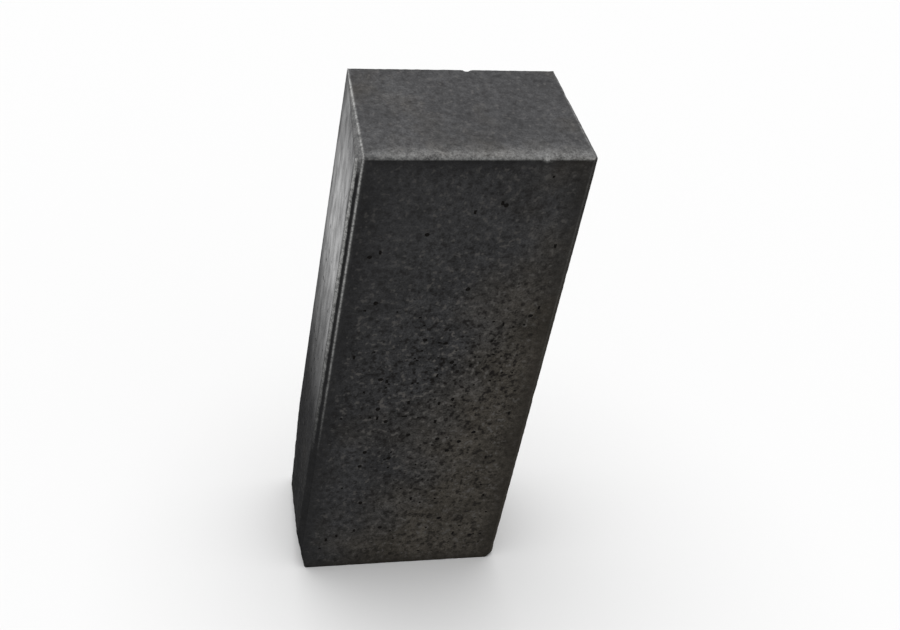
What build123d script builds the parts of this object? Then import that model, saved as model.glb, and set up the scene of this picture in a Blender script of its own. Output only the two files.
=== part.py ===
"""Wedge-shaped concrete edging block, the kind that is set side by side to lay a curved border.

Millimetres, +Z up. The block stands upright on its base. The origin is the middle of the base,
the wide show face looks towards -Y and the narrow face, which backs onto the soil, towards +Y.
"""
import os

from build123d import *

# Plan of the wedge, to its sharp corners: the taper from front to back turns a row of blocks into a curve.
front_width = 120.0
back_width = 106.0
depth = 70.0

# Height of the block as it stands, from its base to its top face.
height = 300.0

# Chamfer on the front and top edges of each joint face, so that two blocks meet in a V. It is even down
# the front edge, and along the top edge it runs out to nothing at the back corner.
joint_chamfer = 3.5

# Rounding of the arris between the show face and the top face.
top_arris_radius = 2.5


def half_wedge():
    """Right half of the sharp wedge, from the middle plane to the joint face."""
    plan = make_face(
        Polyline(
            (0.0, -depth / 2),
            (front_width / 2, -depth / 2),
            (back_width / 2, depth / 2),
            (0.0, depth / 2),
            close=True,
        )
    )
    return extrude(plan, height)


def trimmed(block, start, along, across):
    """The block without what lies outside the plane through three points, seen from its middle."""
    outward = (along - start).cross(across - start)
    middle = block.center()
    keep = Keep.BOTTOM if (middle - start).dot(outward) < 0 else Keep.TOP
    return split(block, bisect_by=Plane(start, along - start, outward), keep=keep)


def chamfered_half():
    """Right half with the chamfers of its joint face, which meet in a mitre at the front top corner."""
    front_top = Vector(front_width / 2, -depth / 2, height)
    back_top = Vector(back_width / 2, depth / 2, height)
    down = Vector(0.0, 0.0, -joint_chamfer)
    mitre = front_top - Vector(joint_chamfer, 0.0, 0.0)
    on_joint_face = front_top + (back_top - front_top).normalized() * joint_chamfer
    half = trimmed(half_wedge(), mitre, mitre + down, on_joint_face)
    return trimmed(half, mitre, front_top + down, back_top)


def side_view_slab():
    """Slab over the whole width whose side view is the block's: a rectangle with a rounded top arris."""
    side_view = Plane.YZ * Rectangle(depth, height, align=(Align.CENTER, Align.MIN))
    front_top_corner = side_view.vertices().group_by(Axis.Z)[-1].sort_by(Axis.Y)[0]
    side_view = fillet(front_top_corner, top_arris_radius)
    return extrude(side_view, front_width / 2, both=True)


def edging_block():
    """One solid: the chamfered half and its mirror image, cut to the rounded side view."""
    half = chamfered_half()
    return (half + mirror(half, about=Plane.YZ)) & side_view_slab()


os.makedirs("parts", exist_ok=True)
export_step(edging_block(), "parts/edging_block.step")
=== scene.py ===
from math import cos, radians, sin

import bmesh
import bpy
import numpy as np
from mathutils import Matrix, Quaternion, Vector, noise


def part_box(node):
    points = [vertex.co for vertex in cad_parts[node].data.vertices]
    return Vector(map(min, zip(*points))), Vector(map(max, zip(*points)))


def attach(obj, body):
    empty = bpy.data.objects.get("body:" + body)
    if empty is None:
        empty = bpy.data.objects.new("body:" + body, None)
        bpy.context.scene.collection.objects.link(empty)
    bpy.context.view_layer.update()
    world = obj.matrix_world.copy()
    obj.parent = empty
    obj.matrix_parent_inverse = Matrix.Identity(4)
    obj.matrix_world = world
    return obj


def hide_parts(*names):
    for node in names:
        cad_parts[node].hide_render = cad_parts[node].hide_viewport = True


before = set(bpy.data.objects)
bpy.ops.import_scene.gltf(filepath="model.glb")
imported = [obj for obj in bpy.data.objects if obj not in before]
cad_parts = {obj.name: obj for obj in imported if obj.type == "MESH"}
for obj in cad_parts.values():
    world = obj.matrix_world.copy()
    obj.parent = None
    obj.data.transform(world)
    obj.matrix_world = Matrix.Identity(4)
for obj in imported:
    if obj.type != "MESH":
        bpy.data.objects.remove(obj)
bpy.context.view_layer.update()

# The edging block: one piece of black concrete, coloured right through, pressed hard in a steel mould
# and pushed out while it is still green. Its faces keep pores and sand grains, and where it leaves the
# mould the arrises crumble, most of all the rounded one between the show face and the top.
front_width = 0.120
back_width = 0.106
joint_chamfer = 0.0035
top_arris_radius = 0.0025
node_low, node_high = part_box("edging_block")
depth = node_high.y - node_low.y
height = node_high.z - node_low.z
block_middle = Vector((0.0, 0.0, height / 2))

# The net of faces is fine along the arrises, where crumbs break off, and coarser on the flats.
arris_band = 0.0045
arris_pitch = 0.00045
flat_pitch = 0.0014


def net_lines(length):
    """Places of the net's lines along one side of the block, from -length / 2 to length / 2."""
    edge = np.linspace(-length / 2, -length / 2 + arris_band, round(arris_band / arris_pitch) + 1)
    flat_length = length - 2 * arris_band
    flat = np.linspace(-flat_length / 2, flat_length / 2, round(flat_length / flat_pitch) + 1)
    return np.concatenate([edge[:-1], flat, -edge[-2::-1]])


lines = [net_lines(front_width), net_lines(depth), net_lines(height)]
cube_size = 1.0
net = bmesh.new()
bmesh.ops.create_cube(net, size=cube_size)
for axis in range(3):
    whole_edges = [e for e in net.edges if abs((e.verts[0].co - e.verts[1].co)[axis]) > cube_size / 2]
    bmesh.ops.subdivide_edges(net, edges=whole_edges, cuts=len(lines[axis]) - 2, use_grid_fill=True)
bmesh.ops.recalc_face_normals(net, faces=net.faces)
block_mesh = bpy.data.meshes.new("concrete_block")
net.to_mesh(block_mesh)
net.free()

# From the cube to the wedge: each net line goes to its place, and the width narrows to the back.
points = np.empty(3 * len(block_mesh.vertices))
block_mesh.vertices.foreach_get("co", points)
points = points.reshape(-1, 3)
for axis in range(3):
    line_number = np.rint((points[:, axis] / cube_size + 0.5) * (len(lines[axis]) - 1)).astype(int)
    points[:, axis] = lines[axis][line_number]
points[:, 0] *= np.interp(points[:, 1], [-depth / 2, depth / 2], [1.0, back_width / front_width])
points[:, 2] += height / 2


def plane_through(a, b, c):
    """Outward direction of the plane through three points of the skin, and its distance from the origin."""
    outward = (b - a).cross(c - a).normalized()
    if outward.dot(block_middle - a) > 0:
        outward.negate()
    return outward, outward.dot(a)


# The bounding faces: show face, top, back and base, then each joint face with its front and top chamfers,
# the left side first. The front chamfer is even, and the top one runs out to nothing at the back corner.
SHOW_FACE, TOP_FACE = 0, 1
JOINT_FACES, FRONT_CHAMFERS, TOP_CHAMFERS = (4, 7), (5, 8), (6, 9)
planes = [
    (Vector((0.0, -1.0, 0.0)), depth / 2),
    (Vector((0.0, 0.0, 1.0)), height),
    (Vector((0.0, 1.0, 0.0)), depth / 2),
    (Vector((0.0, 0.0, -1.0)), 0.0),
]
for side in (-1, 1):
    front_top = Vector((side * front_width / 2, -depth / 2, height))
    back_top = Vector((side * back_width / 2, depth / 2, height))
    down = Vector((0.0, 0.0, -joint_chamfer))
    mitre = front_top - Vector((side * joint_chamfer, 0.0, 0.0))
    on_joint_face = front_top + (back_top - front_top).normalized() * joint_chamfer
    planes.append(plane_through(front_top, front_top + down, back_top))
    planes.append(plane_through(mitre, mitre + down, on_joint_face))
    planes.append(plane_through(mitre, front_top + down, back_top))
plane_out = np.array([outward[:] for outward, distance in planes])
plane_distance = np.array([distance for outward, distance in planes])

# A point that lies beyond several planes settles where they meet in a few rounds.
settling_rounds = 6
for _ in range(settling_rounds):
    for outward, distance in zip(plane_out, plane_distance):
        points -= np.maximum(points @ outward - distance, 0.0)[:, None] * outward

# The rounded arris between the show face and the top face.
round_axis = np.array([-depth / 2 + top_arris_radius, height - top_arris_radius])
from_axis = points[:, 1:] - round_axis
reach = np.linalg.norm(from_axis, axis=1)
rounded = (from_axis[:, 0] < 0) & (from_axis[:, 1] > 0) & (reach > top_arris_radius)
points[rounded, 1:] = round_axis + from_axis[rounded] * (top_arris_radius / reach[rounded])[:, None]


def lumps(places, lump_size, seed):
    """Smooth noise between about -1 and 1 at each place, with lumps of the given size."""
    seed_step = 17.3
    return np.array([noise.noise(place) for place in places / lump_size + seed_step * seed])


# Wear along the arrises: the two nearest planes blend over a width that changes along the arris, wide
# where a crumb has gone. All wear goes into the block, so that no face stands proud of the mould's.
wear_reach = 0.008
fine_crumb_share = 0.6
chip_level = 0.25
least_wear = 0.0003
gauge = points @ plane_out.T - plane_distance
order = np.argsort(gauge, axis=1)
nearest, second = order[:, -1], order[:, -2]
row = np.arange(len(points))
from_arris = gauge[row, nearest] - gauge[row, second]
near_arris = from_arris < wear_reach
ragged = np.zeros(len(points))
chipped = np.zeros(len(points))
ragged[near_arris] = lumps(points[near_arris], lump_size=0.0028, seed=1)
ragged[near_arris] += fine_crumb_share * lumps(points[near_arris], lump_size=0.0013, seed=2)
chipped[near_arris] = np.maximum(lumps(points[near_arris], lump_size=0.009, seed=3) - chip_level, 0.0)


def worn_width(even, by_crumbs, by_chips):
    """Width of the wear along an arris: an even width, changed by crumbs and widened by chips."""
    return even + by_crumbs * ragged + by_chips * chipped


def on_arris(one_face, other_face):
    """Which points lie nearest to the arris between two of the planes."""
    one_way = (nearest == one_face) & (second == other_face)
    other_way = (nearest == other_face) & (second == one_face)
    return one_way | other_way


wear_width = np.where(on_arris(SHOW_FACE, TOP_FACE),
                      worn_width(even=0.0030, by_crumbs=0.0005, by_chips=0.0015),
                      worn_width(even=0.0009, by_crumbs=0.0004, by_chips=0.0025))
wear_width = np.maximum(wear_width, least_wear)

# The blend is 1 on the arris and 0 past the worn width, and on the arris a quarter of that width is lost.
blend = np.maximum(1 - from_arris / wear_width, 0.0)
loss = np.maximum(gauge[row, nearest] + wear_width / 4 * blend ** 2, 0.0)
inward = -(1 - blend / 2)[:, None] * plane_out[nearest] - (blend / 2)[:, None] * plane_out[second]
points += loss[:, None] * inward / np.linalg.norm(inward, axis=1)[:, None]

# The foot is broken all along the left joint face, most at its front corner, and a little at the right
# front corner. Each break is a rough plane, given by the way it faces and its distance from the middle of
# the base.
break_roughness = 0.0004
near_break = 0.001
for break_out, break_distance in (
    ((-0.93, -0.31, -0.19), 0.0601),
    ((-0.97, 0.03, -0.25), 0.0507),
    ((-0.96, 0.28, -0.05), 0.0573),
    ((0.64, -0.68, -0.35), 0.0591),
):
    outward = np.array(Vector(break_out).normalized())
    beyond = points @ outward - break_distance
    broken = beyond > -near_break
    beyond[broken] += break_roughness * lumps(points[broken], lump_size=0.003, seed=7)
    points -= np.maximum(beyond, 0.0)[:, None] * outward

# Knocks: small hollows in the arrises, each from a round thing of the given size that has its middle
# outside the block. The fresh ones, along the show arris, have pale sand in and about them.
pale_reach = 1.6
fresh = np.zeros(len(points))
for knock_x, knock_y, knock_z, knock_size, freshness in (
    (0.0075, depth / 2 + 0.0008, height + 0.0012, 0.0027, 0.0),
    (0.0255, -depth / 2 - 0.0002, height + 0.0006, 0.0022, 0.25),
    (0.0330, -depth / 2 - 0.0006, height - 0.0002, 0.0023, 0.6),
    (0.0550, -depth / 2 - 0.0002, height + 0.0002, 0.0020, 0.35),
):
    from_knock = points - np.array([knock_x, knock_y, knock_z])
    knock_reach = np.linalg.norm(from_knock, axis=1)
    knock_depth = np.maximum(knock_size - knock_reach, 0.0)
    points += (knock_depth / knock_reach)[:, None] * from_knock
    fresh = np.maximum(fresh, freshness * np.clip(pale_reach - knock_reach / knock_size, 0.0, 1.0))

# The flats are not dead true: long low waves and a sandy unevenness, a tenth of a millimetre or so, and
# much less on the joint faces, which slid along the mould's liner. The net itself is shaken a little within
# each face, so that the pores cut from it don't stand in rows.
random = np.random.default_rng(seed=11)
wave_depth = 0.00012
sand_depth = 0.00007
slid_unevenness = 0.1
net_shake = 0.00022
flat_from = 0.001
flat_fade = 0.005
slid = np.isin(nearest, JOINT_FACES)
on_flat = np.clip((from_arris - flat_from) / flat_fade, 0.0, 1.0)
dip = wave_depth * (0.5 + 0.5 * lumps(points, lump_size=0.024, seed=4))
dip += sand_depth * (0.5 + 0.5 * lumps(points, lump_size=0.0035, seed=5))
dip[slid] *= slid_unevenness
shake = net_shake * random.uniform(-1.0, 1.0, points.shape)
shake -= np.sum(shake * plane_out[nearest], axis=1)[:, None] * plane_out[nearest]
points += on_flat[:, None] * (shake - np.clip(dip, 0.0, None)[:, None] * plane_out[nearest])
block_mesh.vertices.foreach_set("co", points.ravel())

# How far the dark skin is rubbed off to pale sand: over the show arris and in a band behind it, over the top
# chamfers, in the fresh knocks, and in a thin line along the arrises of the chamfers. The upright lines fade
# towards the foot, which is painted shade, and the left side is paler than the right one, on its top chamfer
# partly from wear and partly as painted light.
band_width = 0.0038
band_sharpness = 1.5
line_width = 0.0004
line_strength = 1.2
line_raggedness = 0.5
fade_per_height = 2.2
fade_at_foot = -0.7
up_the_face = points[:, 2] / height
turned_up = np.clip((points[:, 2] - round_axis[1]) / top_arris_radius, 0.0, 1.0)
behind_show_arris = np.maximum(points[:, 1] + depth / 2 - top_arris_radius, 0.0)
over_show_arris = np.interp(turned_up, [0.1, 0.35, 1.0], [0.0, 0.37, 0.17])
rubbed_and_painted_light = over_show_arris * np.exp(-(behind_show_arris / band_width) ** band_sharpness)
rubbed_and_painted_light *= np.interp(points[:, 0], [-0.055, -0.035], [0.6, 1.0])
thin_line = np.exp(-(from_arris / line_width) ** 2)
thin_line *= np.clip(line_strength + line_raggedness * ragged, 0.0, line_strength)
# Painted shade: the upright pale lines, and the outer paleness of the left front chamfer, fade out towards
# the foot.
foot_shade_fade = np.clip(fade_per_height * up_the_face + fade_at_foot, 0.0, 1.0)
for front_chamfer, top_chamfer, top_rub_and_light, upright_rub, level_rub in (
    (FRONT_CHAMFERS[0], TOP_CHAMFERS[0], 0.17, 1.0, 0.5),
    (FRONT_CHAMFERS[1], TOP_CHAMFERS[1], 0.07, 0.1, 0.2),
):
    # The even paleness of the left top chamfer is partly wear and partly painted light.
    rubbed_and_painted_light[nearest == top_chamfer] = top_rub_and_light
    upright_line = np.where(on_arris(SHOW_FACE, front_chamfer), upright_rub * foot_shade_fade, 0.0)
    level_line = np.where(on_arris(TOP_FACE, top_chamfer), level_rub, 0.0)
    rubbed_and_painted_light = np.maximum(rubbed_and_painted_light, thin_line * np.maximum(upright_line, level_line))
rubbed_and_painted_light = np.maximum(rubbed_and_painted_light, fresh)

# The left front chamfer is rubbed pale over its outer part, next to the joint face, and at its top corner;
# the outer part fades towards the foot as painted shade.
# Across the chamfer, 0 is the show face and 1 is the joint face.
outer_from = 0.52
outer_raggedness = 0.06
outer_fade = 0.16
corner_length = 0.009
corner_rub = 0.4
nearly_on_both = -1e-6
left_chamfer = nearest == FRONT_CHAMFERS[0]
off_both = np.minimum(gauge[:, SHOW_FACE] + gauge[:, JOINT_FACES[0]], nearly_on_both)
across_chamfer = gauge[:, SHOW_FACE] / off_both
outer_part = np.clip((across_chamfer - outer_from + outer_raggedness * ragged) / outer_fade, 0.0, 1.0)
top_corner = np.clip(1.0 - (height - joint_chamfer - points[:, 2]) / corner_length, 0.0, 1.0)
left_rub = np.maximum(outer_part * foot_shade_fade, corner_rub * top_corner)
rubbed_and_painted_light = np.where(left_chamfer, np.maximum(rubbed_and_painted_light, left_rub), rubbed_and_painted_light)


def openness(places, faces):
    """How open the skin is, up to 1: most half-way up, and least in the upper left of the show face."""
    by_height = np.interp(places[:, 2] / height, [0.0, 0.35, 0.55, 0.75, 1.0], [0.7, 0.85, 1.0, 0.6, 0.4])
    across = np.interp(places[:, 0], [-0.060, -0.035, 0.0, 0.060], [0.5, 0.7, 1.0, 0.9])
    return by_height * np.where(faces == SHOW_FACE, across, 1.0)


# The skin is close on the top, under the press plate, on the chamfers and on the joint faces.
pressed_close = 0.75
facing_up = np.isin(nearest, (TOP_FACE,) + TOP_CHAMFERS)
closed = np.where(facing_up, pressed_close, 1.0 - openness(points, nearest))
closed[slid] = np.interp(up_the_face[slid], [0.3, 0.6], [0.7, 0.85])
closed[np.isin(nearest, FRONT_CHAMFERS)] = 1.0

# The margins of the upright faces are richer in cement, so darker and closer, most of all under the show
# arris. The left front chamfer is painted dark as shade, and the joint faces are painted darker towards the
# foot as shade.
margin_width = 0.012
under_arris_margin = 1.4
under_arris_reach = 0.005
left_chamfer_shade = 1.5
right_chamfer_margin = 0.3
closest_margin = 0.9
below_show_arris = np.abs(height - top_arris_radius - points[:, 2])
under_arris = under_arris_margin * np.exp(-below_show_arris / under_arris_reach)
margin_and_shade = np.where(facing_up, 0.0, np.clip(1 - from_arris / margin_width, 0.0, 1.0))
margin_and_shade = np.where(nearest == SHOW_FACE, np.maximum(margin_and_shade, under_arris), margin_and_shade)
# Painted shade: the joint faces are painted darker towards the foot.
margin_and_shade[slid] = np.interp(up_the_face[slid], [0.0, 0.3, 0.6], [1.2, 0.9, 0.0])
# Painted shade on the left front chamfer, fading out at its top corner.
margin_and_shade[left_chamfer] = left_chamfer_shade * (1.0 - top_corner[left_chamfer])
margin_and_shade[nearest == FRONT_CHAMFERS[1]] = right_chamfer_margin
closed = np.where(slid, closed, np.maximum(closed, np.clip(margin_and_shade, 0.0, closest_margin)))

# The pigment is leaner towards the foot, by so much a metre, and the uprights are painted paler to the
# right, so darker to the left, as shade; on the top and its chamfers the pigment is cooler and less brown, a
# painted stand-in for the neutral sheen that light lays on the top. The mould's liner polished the joint
# faces from the middle upwards, less near the back edge, and the top chamfers a little.
# Painted sheen: the top's pigment is cooler and less brown.
cool_top_painted_sheen = -0.26
lean_at_foot = 0.17
# Painted shade: paler to the right, so darker to the left.
painted_light_to_right = 6.0
richer_upwards = 2.0
chamfer_polish = 0.4
lean_and_painted_light_upright = lean_at_foot + painted_light_to_right * points[:, 0] - richer_upwards * points[:, 2]
lean_and_painted_light = np.where(facing_up, cool_top_painted_sheen, lean_and_painted_light_upright)
from_back = depth / 2 - points[:, 1]
polished = np.interp(up_the_face, [0.2, 0.37, 0.57, 0.73, 0.85, 0.96], [0.0, 0.03, 0.37, 0.97, 0.97, 0.56])
polished *= np.where(slid, 1.0, np.where(np.isin(nearest, TOP_CHAMFERS), chamfer_polish, 0.0))
polished *= np.interp(from_back, [0.0, 0.006, 0.020], [0.35, 0.6, 1.0])
skin_values = {"rubbed_and_painted_light": rubbed_and_painted_light, "closed": closed, "margin_and_shade": margin_and_shade, "lean_and_painted_light": lean_and_painted_light, "polished": polished}
for attribute_name, values in skin_values.items():
    block_mesh.attributes.new(attribute_name, "FLOAT", "POINT").data.foreach_set("value", values)
block_mesh.update()

# Pores: air that the press did not drive out, where the skin is open, in loose crowds clear of the arrises.
# Most are one face of the net, some run on into the face above, and some are larger pits, the faces about
# one knot of the net. The widest one stands at its own place, high on the show face.
pore_free_margin = 0.0058
top_chance = 0.004
mould_chance = 0.032
usual_crowding = 0.5
crowding_swing = 0.9
least_crowding, most_crowding = 0.05, 1.5
centres = np.empty(3 * len(block_mesh.polygons))
block_mesh.polygons.foreach_get("center", centres)
centres = centres.reshape(-1, 3)
centre_gauge = centres @ plane_out.T - plane_distance
centre_order = np.sort(centre_gauge, axis=1)
clear_of_arris = centre_order[:, -1] - centre_order[:, -2] > pore_free_margin
centre_face = np.argmax(centre_gauge, axis=1)
crowding = usual_crowding + crowding_swing * lumps(centres, lump_size=0.035, seed=6)
crowding = np.clip(crowding, least_crowding, most_crowding) * openness(centres, centre_face) ** 2
chance = np.where(centre_face == TOP_FACE, top_chance, mould_chance) * crowding * clear_of_arris
draw = random.random(len(centres))
widest_pore = np.array([0.0167, -depth / 2, 0.2708])
widest_reach = np.array([0.0024, 0.0010, 0.0011])
sure_draw = -1.0
draw[(np.abs(centres - widest_pore) < widest_reach).all(axis=1)] = sure_draw
pit_share = 0.22
run_on_share = 0.16
pit_rounding = 0.3
pitted = bmesh.new()
pitted.from_mesh(block_mesh)
pitted.faces.ensure_lookup_table()
pore_shade = pitted.verts.layers.float.new("pore_shade")
pore_faces = {pitted.faces[i] for i in np.flatnonzero(draw < chance)}
for face in sorted(pore_faces, key=lambda f: f.index):
    spread = random.random()
    if spread < pit_share:
        knot = face.verts[0]
        pore_faces.update(knot.link_faces)
        beside_knot = {edge.other_vert(knot) for edge in knot.link_edges}
        for vert in {v for f in knot.link_faces for v in f.verts} - beside_knot - {knot}:
            vert.co = vert.co.lerp(knot.co, pit_rounding)
    elif spread < pit_share + run_on_share:
        upper_edge = max(face.edges, key=lambda e: e.verts[0].co.z + e.verts[1].co.z)
        pore_faces.update(upper_edge.link_faces)

# Each pore goes down in two steps, the second one steeper.
pore_faces = sorted(pore_faces, key=lambda f: f.index)
for rim, drop in ((0.00016, -0.0002), (0.00014, -0.0003)):
    bmesh.ops.inset_region(pitted, faces=pore_faces, use_boundary=True, use_even_offset=True,
                           thickness=rim, depth=drop)
    # The walls and floor of each pore are marked, to be painted dark as shade.
    for face in pore_faces:
        for vert in face.verts:
            vert[pore_shade] = 1.0
merge_reach = 0.00001
sharp_bend = radians(50)
bmesh.ops.remove_doubles(pitted, verts=pitted.verts, dist=merge_reach)
pitted.to_mesh(block_mesh)
pitted.free()
block_mesh.shade_smooth()
block_mesh.set_sharp_from_angle(angle=sharp_bend)
edging_block = bpy.data.objects.new("concrete_block", block_mesh)
bpy.context.scene.collection.objects.link(edging_block)
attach(edging_block, "root")
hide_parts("edging_block")


def linear(hex_colour):
    """sRGB hex, as a colour picker shows it, to the linear values that the shader takes."""
    channels = [int(hex_colour[i:i + 2], 16) / 255 for i in (1, 3, 5)]
    return [c / 12.92 if c <= 0.04045 else ((c + 0.055) / 1.055) ** 2.4 for c in channels] + [1.0]


def add_node(owner, kind, settings=None, links=None):
    """One node: settings are its properties or input values, links are input name or number to socket."""
    node = owner.node_tree.nodes.new(kind)
    for name, value in (settings or {}).items():
        if isinstance(name, int) or name in node.inputs:
            node.inputs[name].default_value = value
        else:
            setattr(node, name, value)
    for name, socket in (links or {}).items():
        owner.node_tree.links.new(socket, node.inputs[name])
    return node


# Black pressed concrete: cement stained with black pigment, on sand. The pigment lies a little unevenly, so
# the eye sees cool and brownish clouds, with painted shade to the left and a cooler top painted as sheen,
# then sand grains, pores painted dark with their shade, and paler crumbs where arrises broke.
# The sandy skin is matt, and it shines only where the mould's liner polished it.
METRE_IN_MM = 1000.0
cloud_mm = 60
patch_mm = 26
mottle_mm = 3.5
# Sand of about 0.4 mm, drawn at 1 mm so that it shows.
sand_mm = 1
# In a pattern of this size, shallow pits and lumps of sand come out about 2 mm across.
speck_mm = 2.8
scatter_mm = 2.8
drag_mark_mm = 8
cool_black = linear("#4d4d4e")
brown_black = linear("#524e48")
bare_sand = linear("#d2d2d0")
sand_grain = linear("#75726f")
hole_shade_black = linear("#292726")
concrete = bpy.data.materials.new("black_pressed_concrete")
concrete.use_nodes = True
skin = concrete.node_tree.nodes["Principled BSDF"]
place = add_node(concrete, "ShaderNodeTexCoord").outputs["Object"]
cloud = add_node(concrete, "ShaderNodeTexNoise",
                 {"Scale": METRE_IN_MM / cloud_mm, "Detail": 4.0, "Roughness": 0.6}, {"Vector": place})
patch = add_node(concrete, "ShaderNodeTexNoise",
                 {"Scale": METRE_IN_MM / patch_mm, "Detail": 3.0, "Roughness": 0.6}, {"Vector": place})
mottle = add_node(concrete, "ShaderNodeTexNoise",
                  {"Scale": METRE_IN_MM / mottle_mm, "Detail": 4.0, "Roughness": 0.7}, {"Vector": place})
grain = add_node(concrete, "ShaderNodeTexNoise",
                 {"Scale": METRE_IN_MM / sand_mm, "Detail": 2.0, "Roughness": 0.7}, {"Vector": place})
speck = add_node(concrete, "ShaderNodeTexNoise",
                 {"Scale": METRE_IN_MM / speck_mm, "Detail": 1.0, "Roughness": 0.5}, {"Vector": place})
# Pinholes and pale grains lie in the cells of one scatter, where a cell's chance number says which it holds.
scatter = add_node(concrete, "ShaderNodeTexVoronoi", {"Scale": METRE_IN_MM / scatter_mm}, {"Vector": place})
chance_number = add_node(concrete, "ShaderNodeSeparateColor", {}, {"Color": scatter.outputs["Color"]})
spot = add_node(concrete, "ShaderNodeMapRange", {"From Min": 0.36, "From Max": 0.18},
                {"Value": scatter.outputs["Distance"]})
# Where the pigment is leaner, the sand shows through it browner and paler; the same share carries the
# painted shade to the left and the cooler top that stands in for sheen. A Mix node's inputs go by number: 0
# is the share, 2 and 3 are the two numbers, and 6 and 7 are the two colours.
lean_and_painted_light_place = add_node(concrete, "ShaderNodeAttribute", {"attribute_name": "lean_and_painted_light"}).outputs["Fac"]
lean_and_painted_light_clouds = add_node(concrete, "ShaderNodeMath", {"operation": "ADD"},
                       {0: cloud.outputs["Fac"], 1: lean_and_painted_light_place})
lean_and_painted_light_share = add_node(concrete, "ShaderNodeMapRange", {"From Min": -0.05, "From Max": 0.7},
                      {"Value": lean_and_painted_light_clouds.outputs["Value"]})
brown_share = add_node(concrete, "ShaderNodeMapRange", {"From Min": 0.4, "From Max": 0.9},
                       {"Value": lean_and_painted_light_share.outputs["Result"]})
pigment = add_node(concrete, "ShaderNodeMix", {"data_type": "RGBA", 6: cool_black, 7: brown_black},
                   {0: brown_share.outputs["Result"]})
lean_and_painted_light_tone = add_node(concrete, "ShaderNodeMapRange", {"To Min": 0.74, "To Max": 1.2},
                     {"Value": lean_and_painted_light_share.outputs["Result"]})
patch_tone = add_node(concrete, "ShaderNodeMapRange",
                      {"From Min": 0.25, "From Max": 0.75, "To Min": 0.58, "To Max": 1.42},
                      {"Value": patch.outputs["Fac"]})
mottle_tone = add_node(concrete, "ShaderNodeMapRange",
                       {"From Min": 0.3, "From Max": 0.7, "To Min": 0.4, "To Max": 1.6},
                       {"Value": mottle.outputs["Fac"]})
grain_tone = add_node(concrete, "ShaderNodeMapRange",
                      {"From Min": 0.25, "From Max": 0.75, "To Min": 0.5, "To Max": 1.5},
                      {"Value": grain.outputs["Fac"]})
sand_tone = add_node(concrete, "ShaderNodeMath", {"operation": "MULTIPLY"},
                     {0: mottle_tone.outputs["Result"], 1: grain_tone.outputs["Result"]})
cloud_tone = add_node(concrete, "ShaderNodeMath", {"operation": "MULTIPLY"},
                      {0: lean_and_painted_light_tone.outputs["Result"], 1: patch_tone.outputs["Result"]})
open_tone = add_node(concrete, "ShaderNodeMath", {"operation": "MULTIPLY"},
                     {0: sand_tone.outputs["Value"], 1: cloud_tone.outputs["Value"]})
# A close skin is more even, and the margins are darker. The same share carries the painted shade low on the
# joint faces and on the left front chamfer.
evenness = 0.68
closed_share = add_node(concrete, "ShaderNodeAttribute", {"attribute_name": "closed"}).outputs["Fac"]
even_share = add_node(concrete, "ShaderNodeMath", {"operation": "MULTIPLY", 1: evenness}, {0: closed_share})
tone = add_node(concrete, "ShaderNodeMix", {"data_type": "FLOAT", 3: 1.0},
                {0: even_share.outputs["Value"], 2: open_tone.outputs["Value"]})
margin_and_shade_share = add_node(concrete, "ShaderNodeAttribute", {"attribute_name": "margin_and_shade"}).outputs["Fac"]
margin_and_shade_tone = add_node(concrete, "ShaderNodeMapRange", {"From Max": 1.5, "To Min": 1.0, "To Max": 0.5},
                       {"Value": margin_and_shade_share})
whole_tone = add_node(concrete, "ShaderNodeMath", {"operation": "MULTIPLY"},
                      {0: tone.outputs[0], 1: margin_and_shade_tone.outputs["Result"]})
sandy = add_node(concrete, "ShaderNodeVectorMath", {"operation": "SCALE"},
                 {0: pigment.outputs[2], "Scale": whole_tone.outputs["Value"]})
# Bare sand, in crumbs, where the skin is rubbed off, with painted light on the left top chamfer and painted
# shade where the upright pale lines fade towards the foot.
rubbed_and_painted_light_share = add_node(concrete, "ShaderNodeAttribute", {"attribute_name": "rubbed_and_painted_light"}).outputs["Fac"]
lumpy_sand = add_node(concrete, "ShaderNodeMix", {"data_type": "FLOAT", 0: 0.5},
                      {2: mottle.outputs["Fac"], 3: grain.outputs["Fac"]})
crumb_spots = add_node(concrete, "ShaderNodeMapRange",
                       {"From Min": 0.38, "From Max": 0.62, "To Min": 0.25, "To Max": 1.3},
                       {"Value": lumpy_sand.outputs[0]})
crumbs_and_light = add_node(concrete, "ShaderNodeMath", {"operation": "MULTIPLY"},
                  {0: rubbed_and_painted_light_share, 1: crumb_spots.outputs["Result"]})
crumbled_and_lit = add_node(concrete, "ShaderNodeMix", {"data_type": "RGBA", 7: bare_sand},
                    {0: crumbs_and_light.outputs["Value"], 6: sandy.outputs["Vector"]})
# Pale grains and lumps of sand, where the skin is open.
open_share = add_node(concrete, "ShaderNodeMath", {"operation": "SUBTRACT", 0: 1.0}, {1: closed_share})
is_grain = add_node(concrete, "ShaderNodeMapRange", {"From Min": 0.90, "From Max": 0.96},
                    {"Value": chance_number.outputs["Red"]})
pale_grain = add_node(concrete, "ShaderNodeMath", {"operation": "MULTIPLY"},
                      {0: is_grain.outputs["Result"], 1: spot.outputs["Result"]})
pale_speck = add_node(concrete, "ShaderNodeMapRange", {"From Min": 0.61, "From Max": 0.73},
                      {"Value": speck.outputs["Fac"]})
pale_sand = add_node(concrete, "ShaderNodeMath", {"operation": "MAXIMUM"},
                     {0: pale_grain.outputs["Value"], 1: pale_speck.outputs["Result"]})
open_grain = add_node(concrete, "ShaderNodeMath", {"operation": "MULTIPLY"},
                      {0: pale_sand.outputs["Value"], 1: open_share.outputs["Value"]})
grained = add_node(concrete, "ShaderNodeMix", {"data_type": "RGBA", 7: sand_grain},
                   {0: open_grain.outputs["Value"], 6: crumbled_and_lit.outputs[2]})
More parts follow.
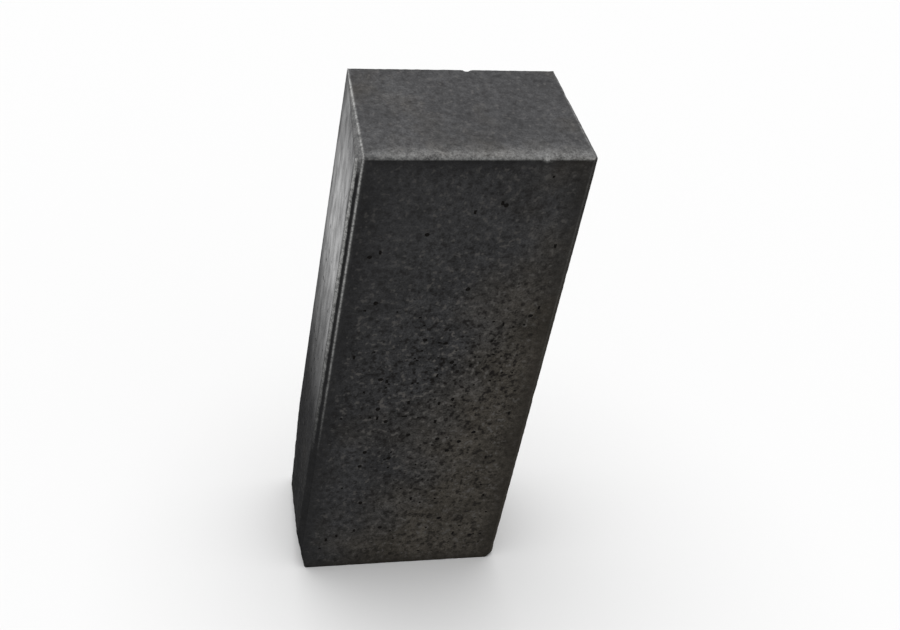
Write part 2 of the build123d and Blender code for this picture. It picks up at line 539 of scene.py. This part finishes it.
# Holes painted dark as their shade: pinholes and shallow pits where the skin is open, and the pores of the
# mesh, walls and floor.
is_pinhole = add_node(concrete, "ShaderNodeMapRange", {"From Min": 0.34, "From Max": 0.20},
                      {"Value": chance_number.outputs["Red"]})
pinhole = add_node(concrete, "ShaderNodeMath", {"operation": "MULTIPLY"},
                   {0: is_pinhole.outputs["Result"], 1: spot.outputs["Result"]})
dark_speck = add_node(concrete, "ShaderNodeMapRange", {"From Min": 0.43, "From Max": 0.31},
                      {"Value": speck.outputs["Fac"]})
pit = add_node(concrete, "ShaderNodeMath", {"operation": "MAXIMUM"},
               {0: pinhole.outputs["Value"], 1: dark_speck.outputs["Result"]})
open_pit = add_node(concrete, "ShaderNodeMath", {"operation": "MULTIPLY"},
                    {0: pit.outputs["Value"], 1: open_share.outputs["Value"]})
pore_share = add_node(concrete, "ShaderNodeAttribute", {"attribute_name": "pore_shade"}).outputs["Fac"]
any_hole = add_node(concrete, "ShaderNodeMath", {"operation": "MAXIMUM"},
                    {0: open_pit.outputs["Value"], 1: pore_share})
hole_shaded = add_node(concrete, "ShaderNodeMix", {"data_type": "RGBA", 7: hole_shade_black},
                 {0: any_hole.outputs["Value"], 6: grained.outputs[2]})
relief = add_node(concrete, "ShaderNodeBump", {"Strength": 1.0, "Distance": 0.00025},
                  {"Height": grain.outputs["Fac"]})
concrete.node_tree.links.new(hole_shaded.outputs[2], skin.inputs["Base Color"])
concrete.node_tree.links.new(relief.outputs["Normal"], skin.inputs["Normal"])
skin.inputs["Roughness"].default_value = 0.75
skin.inputs["Specular IOR Level"].default_value = 0.0
# The polish runs in soft upright drag marks, the way the block slid out of its mould, and not into holes.
upright_stretch = (1.0, 1.0, 0.5)
polished_share = add_node(concrete, "ShaderNodeAttribute", {"attribute_name": "polished"}).outputs["Fac"]
drawn_out = add_node(concrete, "ShaderNodeVectorMath", {"operation": "MULTIPLY", 1: upright_stretch},
                     {0: place})
drag_marks = add_node(concrete, "ShaderNodeTexNoise", {"Scale": METRE_IN_MM / drag_mark_mm, "Detail": 3.0},
                      {"Vector": drawn_out.outputs["Vector"]})
drag_tone = add_node(concrete, "ShaderNodeMapRange",
                     {"From Min": 0.3, "From Max": 0.7, "To Min": 0.5, "To Max": 1.2},
                     {"Value": drag_marks.outputs["Fac"]})
marked_polish = add_node(concrete, "ShaderNodeMath", {"operation": "MULTIPLY"},
                         {0: polished_share, 1: drag_tone.outputs["Result"]})
no_hole = add_node(concrete, "ShaderNodeMath", {"operation": "SUBTRACT", 0: 1.0},
                   {1: any_hole.outputs["Value"]})
mould_polish = add_node(concrete, "ShaderNodeMath", {"operation": "MULTIPLY"},
                        {0: marked_polish.outputs["Value"], 1: no_hole.outputs["Value"]})
concrete.node_tree.links.new(mould_polish.outputs["Value"], skin.inputs["Coat Weight"])
skin.inputs["Coat Roughness"].default_value = 0.2
skin.inputs["Coat IOR"].default_value = 1.3
block_mesh.materials.append(concrete)

# The floor: a plain pale sheet under the block. To the eye and to reflections it is white, and it throws
# only a moderate light back at the block, as a sheet of ordinary size does.
floor_reach = 12.0
seen_white = linear("#eaeaea")
thrown_grey = linear("#a4a4a4")
floor_mesh = bpy.data.meshes.new("pale_floor")
sheet = bmesh.new()
bmesh.ops.create_grid(sheet, x_segments=1, y_segments=1, size=floor_reach)
sheet.to_mesh(floor_mesh)
sheet.free()
floor = bpy.data.objects.new("pale_floor", floor_mesh)
bpy.context.scene.collection.objects.link(floor)


def seen_directly(owner):
    """1 for what is seen by eye, in a reflection or through glass, 0 for light thrown on other things."""
    ray = add_node(owner, "ShaderNodeLightPath")
    eye_or_gloss = add_node(owner, "ShaderNodeMath", {"operation": "MAXIMUM"},
                            {0: ray.outputs["Is Camera Ray"], 1: ray.outputs["Is Glossy Ray"]})
    seen = add_node(owner, "ShaderNodeMath", {"operation": "MAXIMUM"},
                    {0: eye_or_gloss.outputs["Value"], 1: ray.outputs["Is Transmission Ray"]})
    return seen.outputs["Value"]


paper = bpy.data.materials.new("matt_white_paper")
paper.use_nodes = True
paper_skin = paper.node_tree.nodes["Principled BSDF"]
paper_tone = add_node(paper, "ShaderNodeMix", {"data_type": "RGBA", 6: thrown_grey, 7: seen_white},
                      {0: seen_directly(paper)})
paper.node_tree.links.new(paper_tone.outputs[2], paper_skin.inputs["Base Color"])
paper_skin.inputs["Roughness"].default_value = 0.9
paper_skin.inputs["Specular IOR Level"].default_value = 0.0
floor_mesh.materials.append(paper)

# The light: one broad soft lamp overhead, a little to the left and behind, and a little even light all
# round. To the eye the room is white.
towards_lamp = Vector((-0.12, 0.15, 0.98))
even_light = 0.33
white_room = 1.0
lamp_data = bpy.data.lights.new("high_lamp", "SUN")
lamp_data.energy = 2.8
lamp_data.angle = radians(60)
lamp = bpy.data.objects.new("high_lamp", lamp_data)
lamp.rotation_mode = "QUATERNION"
lamp.rotation_quaternion = towards_lamp.to_track_quat("Z", "Y")
bpy.context.scene.collection.objects.link(lamp)
room = bpy.data.worlds.new("even_room_light")
room.use_nodes = True
room_light = add_node(room, "ShaderNodeMix", {"data_type": "FLOAT", 2: even_light, 3: white_room},
                      {0: seen_directly(room)})
room.node_tree.nodes["Background"].inputs["Color"].default_value = (1.0, 1.0, 1.0, 1.0)
room.node_tree.links.new(room_light.outputs[0], room.node_tree.nodes["Background"].inputs["Strength"])
bpy.context.scene.world = room

# The camera stands before the block, to its left and above it, and is tilted, so that the block leans.
view_distance = 0.9387
view_turn = radians(-18.7)
view_height = radians(42.74)
view_lean = radians(12.15)
picture_middle = Vector((0.0137, 0.0, 0.165))
camera_data = bpy.data.cameras.new("camera")
camera_data.sensor_width = 36.0
camera_data.lens = 69.5
camera = bpy.data.objects.new("camera", camera_data)
backwards = Vector((sin(view_turn) * cos(view_height), -cos(view_turn) * cos(view_height), sin(view_height)))
camera.location = block_middle + backwards * view_distance
camera.rotation_mode = "QUATERNION"
aim = (camera.location - picture_middle).to_track_quat("Z", "Y")
camera.rotation_quaternion = aim @ Quaternion((0.0, 0.0, 1.0), view_lean)
bpy.context.scene.collection.objects.link(camera)
bpy.context.scene.camera = camera
bpy.context.scene.view_settings.view_transform = "Standard"
